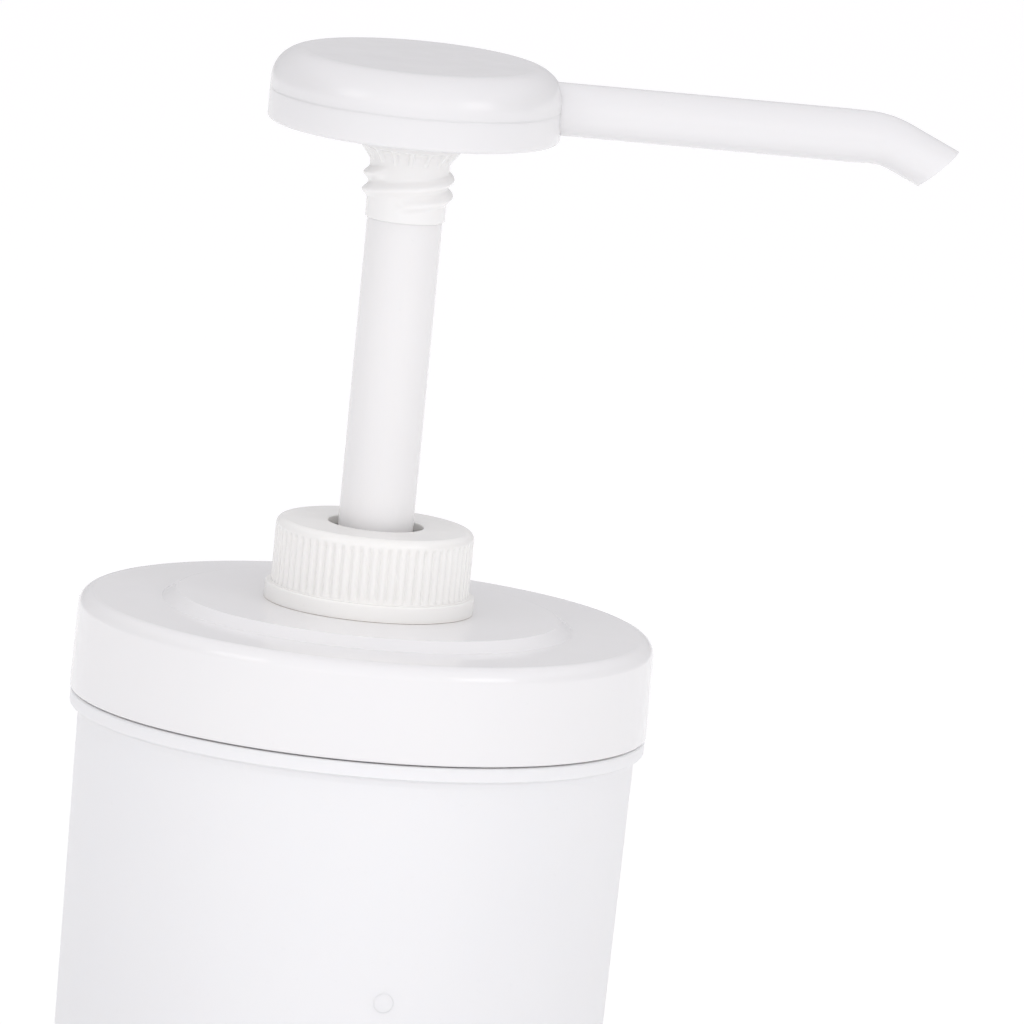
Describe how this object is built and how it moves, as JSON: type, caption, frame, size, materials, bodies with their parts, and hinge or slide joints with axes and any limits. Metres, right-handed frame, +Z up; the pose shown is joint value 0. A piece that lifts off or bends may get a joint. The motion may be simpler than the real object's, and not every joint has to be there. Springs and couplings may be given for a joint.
{
  "type": "condiment pump dispenser",
  "caption": "Round white jar with a push-on lid and a plunger pump: ribbed screw cap, tall stem with lock thread, round push head and long bent spout.",
  "frame": {"origin": "centre of the jar's foot, on the plane it stands on", "axes": "+Z up along the jar and pump axis, +X along the spout at rest"},
  "size_m": [0.1656, 0.1152, 0.2737],
  "materials": {
    "jar_plastic": "satin moulded polyethylene, slightly milky",
    "lid_plastic": "glossy moulded polypropylene",
    "cap_plastic": "moulded polypropylene, faintly warm white, with grip grooves",
    "stem_plastic": "smooth extruded polypropylene",
    "head_plastic": "glossy moulded polypropylene",
    "pump_plastic": "moulded polypropylene",
    "natural_plastic": "unpigmented moulded polypropylene",
    "soft_plastic": "soft moulded polyethylene",
    "silicone": "moulded silicone",
    "gasket_foam": "polyethylene foam",
    "seal_rubber": "moulded nitrile rubber",
    "spring_steel": "drawn stainless wire and stamped washer",
    "ball_steel": "polished stainless steel"
  },
  "bodies": {
    "jar": {"jar": "jar_plastic"},
    "lid": {"lid": "lid_plastic", "lid_seal_ring": "silicone", "neck_gasket": "gasket_foam", "pump_barrel": "natural_plastic", "lock_bushing": "pump_plastic", "stem_wiper": "soft_plastic", "inlet_valve_seat": "natural_plastic", "ball_cage": "natural_plastic", "dip_tube": "natural_plastic", "return_spring": "spring_steel"},
    "cap_carrier": {"cap_slip_washer": "natural_plastic"},
    "cap": {"screw_cap": "cap_plastic"},
    "spring_seat": {"spring_thrust_washer": "spring_steel"},
    "plunger": {"stem": "stem_plastic", "piston": "soft_plastic", "outlet_valve_seat": "natural_plastic", "outlet_ball_stop": "natural_plastic", "head_pan": "head_plastic", "head_cover": "head_plastic", "stem_seal_ring": "seal_rubber", "spout": "head_plastic", "spout_seal_ring": "seal_rubber"},
    "inlet_ball": {"inlet_ball": "ball_steel"},
    "outlet_ball": {"outlet_ball": "ball_steel"}
  },
  "joints": [
    {"name": "lid_lift", "type": "slide", "parent": "jar", "child": "lid", "axis": [0, 0, 1], "range_m": [0, 0.156]},
    {"name": "cap_rise", "type": "slide", "parent": "lid", "child": "cap_carrier", "axis": [0, 0, 1], "range_m": [0, 0.0042]},
    {"name": "cap_turn", "type": "hinge", "parent": "cap_carrier", "child": "cap", "pos_m": [0, 0, 0.17], "axis": [0, 0, 1], "range_deg": [0, 360]},
    {"name": "pump_stroke", "type": "slide", "parent": "lid", "child": "spring_seat", "axis": [0, 0, -1], "range_m": [0, 0.066], "stiffness_N_per_m": 440, "springref_m": -0.022, "deforming": ["return_spring"]},
    {"name": "spout_swivel", "type": "hinge", "parent": "spring_seat", "child": "plunger", "pos_m": [0, 0, 0.2], "axis": [0, 0, 1], "continuous": true},
    {"name": "inlet_ball_lift", "type": "slide", "parent": "lid", "child": "inlet_ball", "axis": [0, 0, 1], "range_m": [0, 0.002]},
    {"name": "outlet_ball_lift", "type": "slide", "parent": "plunger", "child": "outlet_ball", "axis": [0, 0, 1], "range_m": [0, 0.002]}
  ],
  "couplings": [
    {"joint": "cap_rise", "follows": "cap_turn", "m_per_rad": 0.00066845}
  ]
}
